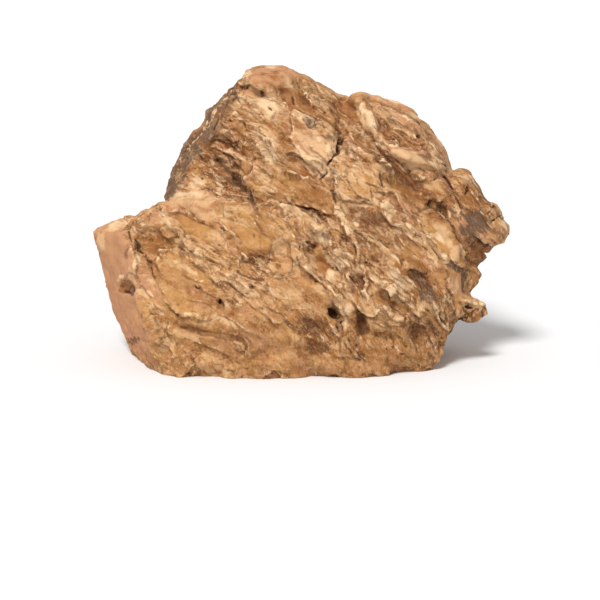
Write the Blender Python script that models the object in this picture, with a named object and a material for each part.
"""A large dragon stone for an aquascape: one weathered piece of ochre clay stone on its flat underside.

The frame has +Z up, +X to the right and the main face towards -Y, with the origin under the middle of the
stone's box. Places on the stone are read in millimetres as (across, up, depth): across and up as they look to
somebody in front of the main face who looks down a little, and depth behind the plane through the stone's
middle. seen() turns such a place into a point of the stone's frame.
"""

import math
import random

import bmesh
import bpy
import numpy as np
from mathutils import Vector, noise

# Driving dimensions, in millimetres.
STONE_WIDTH = 314.0
VIEW_TILT = math.radians(12.0)
VIEW_DISTANCE = 2000.0
EYE_HEIGHT = 54.0
GROUND_LINE = 7.0
METRES = 0.001
TOWARDS_VIEWER = np.array([0, -math.cos(VIEW_TILT), math.sin(VIEW_TILT)])

# The skin: the cell sizes that fuse and weather the blocks, and the faces that are kept.
BLOCK_CELL = 2.2
SKIN_CELL = 1.7
SKIN_TRIANGLES = 10200
ROUNDING_PASSES = 4

# The clay's grain runs down to the right through the whole stone.
GRAIN = Vector((0.76, 0.22, -0.61)).normalized()
GRAIN_STRETCH = 3.2
LUMP_SIZE = 26.0
LUMP_HEIGHT = 5.0
RIB_SIZE = 11.0
RIB_HEIGHT = 4.0
OUTLINE_SHARE = 0.3

# Hollows that weathering left on the sides and the back.
HIDDEN_HOLLOWS = 60
HIDDEN_RADIUS = (6.0, 20.0)
HIDDEN_DEPTH = (2.5, 8.0)
WEATHERING_SEED = 11

CLAY_COLOUR = (0.56, 0.35, 0.18, 1.0)
CLAY_ROUGHNESS = 0.92

# The stone broke along flat faces. Each block is the convex lump between its corners (across, up, depth),
# and the blocks overlap, so that the steps between them are the stone's ledges and notches.
BLOCKS = {
    "heart": [
        (-60, 96, -34), (-50, 136, -22), (0, 132, -31), (30, 134, -33), (60, 136, -31),
        (96, 150, -18), (104, 158, -6), (114, 146, -8), (112, 118, -22), (70, 96, -38),
        (20, 96, -42), (-40, 90, -40), (106, 164, 12), (114, 154, 14), (104, 166, 40),
        (-60, 140, 62), (0, 160, 66), (90, 160, 50), (112, 146, 44), (-60, 90, 70), (90, 90, 70),
    ],
    "back": [
        (-86, 170, 42), (-66, 200, 34), (-30, 212, 44), (10, 214, 30), (30, 203, 28),
        (50, 204, 30), (84, 192, 34), (106, 164, 34), (118, 140, 34), (-100, 120, 40),
        (-70, 160, 70), (-20, 196, 68), (40, 188, 72), (86, 150, 70), (-90, 100, 76),
        (10, 120, 86), (98, 90, 70), (-88, 10, 80), (40, 6, 86), (94, 10, 60),
    ],
    "left shoulder": [
        (-155, 104, 22), (-154, 107, 18), (-142, 110.5, 14), (-135, 112, 12), (-128, 104, -33),
        (-126, 88, -40), (-124, 72, -44), (-117, 45, -48), (-108, 20, -46), (-102, -14, -38),
        (-151, 90, 32), (-148, 78, 34), (-144, 69, 36), (-142.5, 60, 36), (-138, 41, 36),
        (-129, 18, 34), (-119, 0, 32), (-105, 125.5, 14), (-96, 112, -36), (-86, 60, -54),
        (-84, -14, -40), (-122, 98, 60), (-112, 20, 64), (-80, 112, 78), (-80, 2, 76),
    ],
    "shoulder top": [
        (-133, 115, 14), (-130, 118.5, 12), (-119, 122.5, 12), (-105, 128, 12), (-92, 130, 6),
        (-127, 108, -26), (-112, 112, -34), (-90, 118, -36), (-80, 95, -44), (-128, 100, 30),
        (-100, 118, 58), (-85, 100, 60),
    ],
    "lower mass": [
        (-98, 129, 4), (-75, 128, -26), (-40, 122, -41), (-14, 125, -43), (4, 119, -45),
        (13, 108, -48), (22, 92, -52), (-98, 34, -54), (-60, 45, -61), (-20, 40, -63),
        (20, 48, -62), (38, 62, -57), (-92, -14, -44), (-40, -14, -46), (10, -10, -46),
        (48, -8, -44), (-96, 120, 58), (10, 125, 66), (-90, 0, 74), (48, 0, 78),
    ],
    "peak": [
        (-103, 129, 30), (-98, 149.5, 42), (-91, 159, 44), (-88, 167, 44), (-82, 177, 42),
        (-75, 184, 40), (-71, 195, 36), (-54, 210, 28), (-43, 222, 20), (-95, 133, 0),
        (-84, 146, -6), (-76, 165, -7), (-66, 180, -8), (-59, 196, -7), (-51, 209, -3),
        (-44, 212, -2), (-20, 212, -6), (-2, 212, -4), (-30, 190, -17), (0, 190, -19),
        (22, 184, -16), (27, 172, -22), (20, 152, -28), (-34, 148, -27), (-28, 124, -33),
        (22, 116, -36), (4, 224, 16), (20, 213.5, 20), (28, 207, 18), (-96, 128, 66),
        (-60, 190, 62), (-30, 212, 48), (4, 208, 50), (26, 190, 62), (20, 120, 78),
    ],
    "cap": [
        (-43, 223, 12), (-40, 227.5, 14), (-36, 229.5, 16), (-28, 230.5, 20), (-15, 231, 20),
        (-8, 229, 16), (-3, 228, 14), (-1, 223, 10), (-44, 214, -5), (-32, 218, -11),
        (-18, 219, -13), (-6, 217, -9), (-38, 208, -6), (-8, 208, -8), (-48, 210, 16),
        (2, 212, 16), (-44, 216, 46), (-2, 214, 46),
    ],
    "middle": [
        (28, 203, 12), (38, 204, 14), (46, 200, 6), (50, 190, -6), (34, 176, -17),
        (56, 174, -14), (60, 168, -17), (30, 160, -25), (68, 152, -27), (62, 130, -34),
        (28, 127, -36), (100, 140, -20), (112, 128, -16), (90, 112, -30), (110, 100, -24),
        (30, 190, 60), (60, 180, 70), (110, 140, 50), (30, 110, 80), (100, 100, 70),
    ],
    "right dome": [
        (35, 207.5, 12), (39, 210, 12), (48, 211, 12), (57, 208.5, 14), (63, 205.5, 15),
        (70, 202.5, 17), (78, 201, 18), (86, 196, 20), (92, 190.5, 22), (99, 184, 23),
        (104, 177, 24), (109, 168.5, 24), (110, 164, 23), (116, 152, 20), (47, 203, -2),
        (52, 192, -10), (57, 178, -17), (66, 168, -24), (80, 160, -28), (96, 154, -26),
        (110, 150, -16), (84, 184, -10), (66, 192, -9), (46, 200, 50), (80, 188, 56),
        (104, 160, 60), (60, 170, 66),
    ],
    "right shoulder": [
        (116, 151, 10), (120, 152, 12), (124, 153, 12), (128, 151.5, 12), (131, 147, 12),
        (136, 139, 11), (143, 128, 8), (112, 146, -14), (124, 146, -8), (118, 130, -18),
        (134, 128, -14), (124, 122, -19), (113, 118, -22), (116, 98, -24), (124, 96, -16),
        (138, 96, -4), (142, 92, 12), (120, 142, 50), (134, 120, 46), (130, 95, 46),
        (108, 110, 60),
    ],
    "right tip": [
        (143, 127.5, 6), (146, 128.5, 2), (150, 123.5, 0), (153, 117, 0), (157, 109, 2),
        (157, 105, 4), (154, 101, 6), (150, 97, 8), (146, 95, 9), (141, 124, -12),
        (147, 118, -12), (150, 108, -10), (134, 117, -17), (131, 104, -12), (140, 98, -8),
        (140, 118, 34), (150, 106, 28), (138, 98, 34),
    ],
    "lower right": [
        (106, 118, -27), (90, 120, -31), (62, 124, -37), (20, 112, -44), (112, 104, -28),
        (121, 92, -24), (134, 84, 0), (138, 87, 8), (132, 77, 0), (128, 61, -4), (126, 56, -8),
        (106, 62, -36), (82, 78, -44), (40, 66, -56), (62, 48, -54), (94, 48, -42),
        (113, 34, -20), (107, 22, -16), (99, 9, -16), (92, -10, -22), (60, -12, -40),
        (30, -12, -44), (134, 86, 36), (120, 58, 50), (108, 24, 50), (96, 6, 52), (56, 2, 76),
        (70, 110, 76), (20, 100, 80),
    ],
    "nib": [
        (126, 80, -10), (133, 79.5, -4), (137, 77, -3), (138, 73, -2), (134, 68, -2),
        (128, 62, -4), (124, 66, -16), (123, 78, -16), (122, 72, 14),
    ],
    "horn": [
        (112, 57, -16), (126, 57, -12), (131, 55.5, -10), (136, 51.5, -8), (139.5, 47, -6),
        (139.5, 43, -5), (135, 40, -5), (128, 38, -6), (121, 44, -22), (114, 48, -28),
        (112, 42, -16), (118, 50, 14),
    ],
}

# Crests and creases of the main face: (across, up) points from left to right, then the height over the face
# (below zero for a crease) and how far the crest fades out above and below its line.
CRESTS = {
    "front ledge": ([(-103, 128), (-78, 128), (-55, 123), (-35, 119), (-15, 123), (11, 111)], 5, 3, 18),
    "front ledge end": ([(9, 112), (12, 103), (18, 93), (30, 86)], 5, 6, 5),
    "ledge shadow": ([(-76, 163), (-62, 156), (-48, 144), (-38, 132), (-30, 124)], -6, 9, 6),
    "ledge pocket": ([(-4, 124), (8, 122), (18, 117), (28, 112)], -6.5, 6, 2.5),
    "plate edge": ([(-12, 166), (0, 162), (10, 155), (17, 149)], 4.5, 10, 2.5),
    "plate rim": ([(17, 195), (23, 186), (27, 176), (26, 168), (20, 156)], 2.5, 3, 9),
    "main crack": ([(27, 181), (29, 172), (25, 161), (20, 153)], -9, 2.2, 2.2),
    "cream ridge": ([(44, 205), (49, 197), (54, 187), (58, 177), (66, 168), (78, 160), (90, 152)], 5, 3.5, 5),
    "long crease": ([(48, 174), (58, 164), (68, 155), (79, 149), (92, 142)], -8, 4, 4.5),
    "lip under the crease": ([(46, 166), (56, 158), (66, 153), (70, 149)], 3, 2.5, 6),
    "peak corner": ([(-93, 134), (-80, 150), (-74, 166), (-64, 182), (-57, 197), (-49, 210)], 2.5, 4, 5),
    "tongue": ([(93, 118), (104, 114), (111, 105), (118, 94), (124, 83)], 5, 2, 8),
    "tongue crease": ([(106, 118), (111, 110), (117, 100), (124, 90), (130, 80)], -6, 3.5, 2),
    "shoulder crease": ([(108, 149), (113, 138), (118, 130), (122, 122)], -4, 3, 3),
    "long strand": ([(26, 127), (33, 117), (38, 106), (42, 94), (44, 82), (46, 74)], 5.5, 2.5, 4),
    "strand crease": ([(30, 112), (35, 100), (38, 88), (40, 78)], -3.5, 3, 3),
    "slanting strand": ([(44, 110), (56, 101), (66, 94), (76, 85), (88, 79)], 5, 2.5, 6),
    "upper strand": ([(64, 119), (76, 111), (88, 106), (98, 97), (107, 86)], 4.5, 3, 6),
    "middle strand": ([(-6, 100), (0, 86), (8, 76), (20, 66), (28, 56), (36, 46)], 5, 4, 4),
    "lower strand": ([(50, 76), (62, 66), (74, 58), (86, 52), (90, 42)], 5.5, 5, 3),
    "low lip": ([(38, 50), (48, 46), (60, 47), (68, 41), (80, 38)], 5, 3, 4),
    "right strand": ([(96, 56), (101, 48), (105, 39), (113, 31)], 5.5, 3, 3),
    "right crease": ([(100, 68), (106, 54), (110, 44), (114, 36)], -4, 3, 2.5),
    "corner crease": ([(-129, 106), (-122, 98), (-117, 87), (-110, 76), (-106, 69)], -6, 4, 2.5),
    "corner edge": ([(-127, 94), (-124, 80), (-123, 66), (-119, 52), (-112, 36)], 2.5, 3.5, 3.5),
    "left lip": ([(-100, 106), (-91, 99), (-82, 91), (-72, 86), (-58, 80)], 5, 7, 2.5),
    "left low lip": ([(-102, 57), (-94, 49), (-86, 44), (-70, 41)], 3.5, 5, 2),
    "left ribs": ([(-60, 76), (-48, 70), (-38, 62), (-30, 52)], 4.5, 5, 3),
    "upper rib": ([(-52, 192), (-40, 182), (-30, 168), (-22, 156), (-10, 146)], 4.5, 4, 6),
    "hidden lip": ([(-60, 36), (-40, 34), (-20, 26), (0, 24)], 4, 4, 6),
    "hidden crease": ([(-96, 22), (-78, 16), (-60, 14), (-44, 8)], -4, 4, 4),
}

# Hollows of the main face: (across, up) of the middle, the two radii, the slope of the long one in degrees
# and the depth.
HOLLOWS = {
    "under the cap": ((-36, 211), (11, 4), -18, 5.5),
    "cap flute": ((-11, 205), (7, 12), 22, 4.5),
    "cap scoop": ((3, 201), (6, 11), 28, 5.5),
    "cap nick": ((2, 214), (4, 4), 0, 3),
    "notch bowl": ((36, 197), (12, 8), -20, 7),
    "notch throat": ((30, 184), (7, 8), 0, 7),
    "dome bowl": ((76, 178), (19, 8), -24, 6),
    "dark hollow": ((-50, 162), (19, 13), -38, 7.5),
    "dark hollow foot": ((-42, 146), (13, 8), -45, 5),
    "plate scoop": ((0, 152), (14, 8), -15, 5),
    "brown plain": ((80, 138), (20, 9), -24, 5),
    "right pocket": ((103, 123), (9, 7), -35, 8),
    "strand pit": ((43, 68), (7, 9), -10, 10),
    "strand hollow": ((66, 54), (11, 6), -32, 8),
    "grey hollow": ((88, 71), (10, 6), -10, 6),
    "grey hollow foot": ((94, 60), (7, 7), -30, 5),
    "deep hole": ((25, 45), (5, 7), 20, 13),
    "low hollow": ((47, 37), (6, 13), 12, 7.5),
    "ledge dimple": ((8, 94), (6, 5), -10, 5),
    "amber hollow": ((16, 80), (9, 6), -30, 5),
    "brown dimple": ((-33, 86), (10, 5), 0, 4.5),
    "cream hollow": ((-14, 88), (9, 11), 10, 3.5),
    "long dimple": ((-82, 116), (18, 5), -26, 4.5),
    "shoulder hollow": ((-112, 99), (10, 9), -30, 6),
    "corner notch": ((-130, 63), (5.5, 6), 20, 6),
    "left pit": ((-77, 62), (4, 3), 0, 6),
    "dark pit": ((-60, 51), (4, 5), 30, 7),
    "left low hollow": ((-82, 36), (13, 5), -12, 7),
    "under the horn": ((126, 48), (6, 3), -8, 6),
    "gap by the horn": ((120, 38), (6, 5), 0, 12),
    "middle foot hollow": ((14, 30), (9, 9), 0, 5),
    "right foot hollow": ((88, 26), (8, 12), 35, 6),
    "foot scoop": ((-24, 14), (14, 6), 8, 5),
    "left foot nick": ((-72, -3), (15, 8), 4, 8),
    "middle foot nick": ((22, -5), (17, 8), -6, 9),
    "right foot nick": ((76, -4), (12, 10), 8, 8),
}


def seen(across, up, depth):
    """The point of the stone's frame, in metres, that is seen at (across, up) and lies at that depth."""
    spread = 1 + depth / VIEW_DISTANCE
    rise = EYE_HEIGHT + (up - EYE_HEIGHT) * spread - GROUND_LINE
    back = rise * math.sin(VIEW_TILT) + depth * math.cos(VIEW_TILT)
    height = rise * math.cos(VIEW_TILT) - depth * math.sin(VIEW_TILT)
    return Vector((across * spread, back, height)) * METRES


def looks(points):
    """Where points of the stone's frame, in metres, are seen: their (across, up), in millimetres."""
    x, y, z = (points / METRES).T
    depth = y * math.cos(VIEW_TILT) - z * math.sin(VIEW_TILT)
    rise = y * math.sin(VIEW_TILT) + z * math.cos(VIEW_TILT)
    spread = 1 + depth / VIEW_DISTANCE
    return np.stack([x / spread, EYE_HEIGHT + (rise + GROUND_LINE - EYE_HEIGHT) / spread], axis=1)


def add_block(mesh, corners):
    """Adds the convex lump between the corners to a bmesh."""
    points = [mesh.verts.new(seen(*corner)) for corner in corners]
    hull = bmesh.ops.convex_hull(mesh, input=points)
    inside = [item for item in hull["geom_interior"] if isinstance(item, bmesh.types.BMVert)]
    bmesh.ops.delete(mesh, geom=inside, context="VERTS")


def broken_stone():
    """All the blocks, still overlapping, as one object."""
    mesh = bmesh.new()
    for corners in BLOCKS.values():
        add_block(mesh, corners)
    bmesh.ops.recalc_face_normals(mesh, faces=mesh.faces)
    data = bpy.data.meshes.new("dragon_stone")
    mesh.to_mesh(data)
    mesh.free()
    stone = bpy.data.objects.new("dragon_stone", data)
    bpy.context.scene.collection.objects.link(stone)
    return stone


def apply_modifiers(stone):
    """Replaces the stone's mesh by what its modifiers make of it."""
    bpy.context.view_layer.update()
    graph = bpy.context.evaluated_depsgraph_get()
    made = bpy.data.meshes.new_from_object(stone.evaluated_get(graph))
    stone.modifiers.clear()
    before = stone.data
    stone.data = made
    bpy.data.meshes.remove(before)


def fuse(stone, cell, rounding_passes):
    """Fuses what overlaps into one skin of even cells, and rounds its edges a little."""
    skin = stone.modifiers.new("skin", "REMESH")
    skin.mode = "VOXEL"
    skin.voxel_size = cell * METRES
    if rounding_passes:
        rounding = stone.modifiers.new("rounding", "SMOOTH")
        rounding.factor = 0.5
        rounding.iterations = rounding_passes
    apply_modifiers(stone)


def points_and_normals(stone):
    """The stone's vertices and their normals, one row each."""
    count = len(stone.data.vertices)
    points = np.empty(count * 3)
    normals = np.empty(count * 3)
    stone.data.vertices.foreach_get("co", points)
    stone.data.vertices.foreach_get("normal", normals)
    return points.reshape(-1, 3), normals.reshape(-1, 3)


def move_points(stone, points):
    stone.data.vertices.foreach_set("co", points.ravel())
    stone.data.update()


def crest_relief(places, line, height, above, below):
    """How far a crest raises the face at each place: a sharp line that fades out on its two sides."""
    nearest = np.full(len(places), np.inf)
    fade = np.ones(len(places))
    for start, end in zip(np.array(line[:-1], float), np.array(line[1:], float)):
        along = end - start
        share = np.clip((places - start) @ along / (along @ along), 0, 1)
        offset = places - start - share[:, None] * along
        distance = np.hypot(*offset.T)
        is_above = along[0] * offset[:, 1] - along[1] * offset[:, 0] > 0
        closer = distance < nearest
        nearest[closer] = distance[closer]
        fade[closer] = np.where(is_above, above, below)[closer]
    return height * np.exp(-((nearest / fade) ** 1.3))


def hollow_relief(places, middle, radii, slope, depth):
    """How far a hollow lowers the face at each place: a bowl with a firm rim."""
    turn = math.radians(slope)
    offset = places - np.array(middle, float)
    along = offset[:, 0] * math.cos(turn) + offset[:, 1] * math.sin(turn)
    across = offset[:, 1] * math.cos(turn) - offset[:, 0] * math.sin(turn)
    reach = np.hypot(along / radii[0], across / radii[1])
    return -depth * np.clip(1.25 - reach**2, 0, 1) ** 0.8


def carve_main_face(stone):
    """Raises the crests and sinks the hollows of the main face, along the line of sight."""
    points, normals = points_and_normals(stone)
    places = looks(points)
    faces_viewer = np.clip(normals @ TOWARDS_VIEWER / 0.35, 0, 1)
    relief = np.zeros(len(points))
    for crest in CRESTS.values():
        relief += crest_relief(places, *crest)
    for hollow in HOLLOWS.values():
        relief += hollow_relief(places, *hollow)
    move_points(stone, points + (relief * faces_viewer)[:, None] * TOWARDS_VIEWER * METRES)


def carve_hidden_sides(stone):
    """Sinks weathered hollows, longer along the grain, into the sides and the back."""
    points, normals = points_and_normals(stone)
    chance = random.Random(WEATHERING_SEED)
    hidden = np.flatnonzero((normals[:, 1] > -0.25) & (normals[:, 2] > -0.5))
    grain = np.array(GRAIN)
    for _ in range(HIDDEN_HOLLOWS):
        middle = hidden[chance.randrange(len(hidden))]
        radius = chance.uniform(*HIDDEN_RADIUS) * METRES
        depth = chance.uniform(*HIDDEN_DEPTH) * METRES
        offset = points - points[middle]
        along = offset @ grain
        across = np.sqrt(np.maximum((offset**2).sum(axis=1) - along**2, 0))
        reach = np.hypot(along / (1.7 * radius), across / radius)
        same_side = normals @ normals[middle] > 0.2
        sink = depth * np.clip(1.2 - reach**2, 0, 1) * same_side * (normals[:, 1] > -0.45)
        points = points - sink[:, None] * normals[middle]
    move_points(stone, points)


def grained(point, size):
    """A place for a noise of that size whose lumps are stretched along the grain."""
    place = point / (size * METRES)
    along = place.dot(GRAIN)
    return place - GRAIN * along * (1 - 1 / GRAIN_STRETCH)


def weather(stone):
    """Gives the skin its lumps and its ribs along the grain, which are low along the main face's outline."""
    points, normals = points_and_normals(stone)
    strength = np.clip(np.abs(normals @ TOWARDS_VIEWER) / 0.5, OUTLINE_SHARE, 1)
    lift = np.empty(len(points))
    for index, point in enumerate(map(Vector, points)):
        lump = noise.noise(grained(point, LUMP_SIZE))
        rib = 0.5 - abs(noise.noise(grained(point, RIB_SIZE)))
        lift[index] = LUMP_HEIGHT * lump + RIB_HEIGHT * rib
    move_points(stone, points + normals * (lift * strength)[:, None] * METRES)


def thin_out(stone, triangles):
    """Leaves about this many triangles, most of them where the skin bends."""
    now = sum(len(face.vertices) - 2 for face in stone.data.polygons)
    fewer = stone.modifiers.new("fewer faces", "DECIMATE")
    fewer.ratio = triangles / now
    fewer.use_collapse_triangulate = True
    apply_modifiers(stone)


def cut_flat_underside(stone):
    """Cuts the stone off at the ground, where it rests."""
    mesh = bmesh.new()
    mesh.from_mesh(stone.data)
    everything = [*mesh.verts, *mesh.edges, *mesh.faces]
    cut = bmesh.ops.bisect_plane(
        mesh, geom=everything, dist=0.02 * METRES, plane_co=(0, 0, 0), plane_no=(0, 0, 1), clear_inner=True
    )
    rim = [item for item in cut["geom_cut"] if isinstance(item, bmesh.types.BMEdge)]
    for edge in rim:
        for corner in edge.verts:
            corner.co.z = 0
    bmesh.ops.holes_fill(mesh, edges=rim, sides=0)
    bmesh.ops.triangulate(mesh, faces=[face for face in mesh.faces if len(face.verts) > 3])
    bmesh.ops.recalc_face_normals(mesh, faces=mesh.faces)
    mesh.to_mesh(stone.data)
    mesh.free()


def set_in_frame(stone):
    """Gives the stone its width, and puts the origin under the middle of its box."""
    points, _ = points_and_normals(stone)
    low, high = points.min(axis=0), points.max(axis=0)
    middle = (low + high) / 2
    middle[2] = 0
    scale = STONE_WIDTH * METRES / (high[0] - low[0])
    print("middle of the box, in mm:", (middle / METRES).round(2), "scale:", round(scale, 4))
    move_points(stone, (points - middle) * scale)


def clay():
    material = bpy.data.materials.new("ochre clay")
    material.use_nodes = True
    surface = material.node_tree.nodes["Principled BSDF"]
    surface.inputs["Base Color"].default_value = CLAY_COLOUR
    surface.inputs["Roughness"].default_value = CLAY_ROUGHNESS
    return material


def main():
    for obj in list(bpy.data.objects):
        bpy.data.objects.remove(obj)
    stone = broken_stone()
    fuse(stone, BLOCK_CELL, ROUNDING_PASSES)
    carve_main_face(stone)
    carve_hidden_sides(stone)
    weather(stone)
    fuse(stone, SKIN_CELL, 1)
    thin_out(stone, SKIN_TRIANGLES)
    cut_flat_underside(stone)
    set_in_frame(stone)
    stone.data.materials.append(clay())


main()
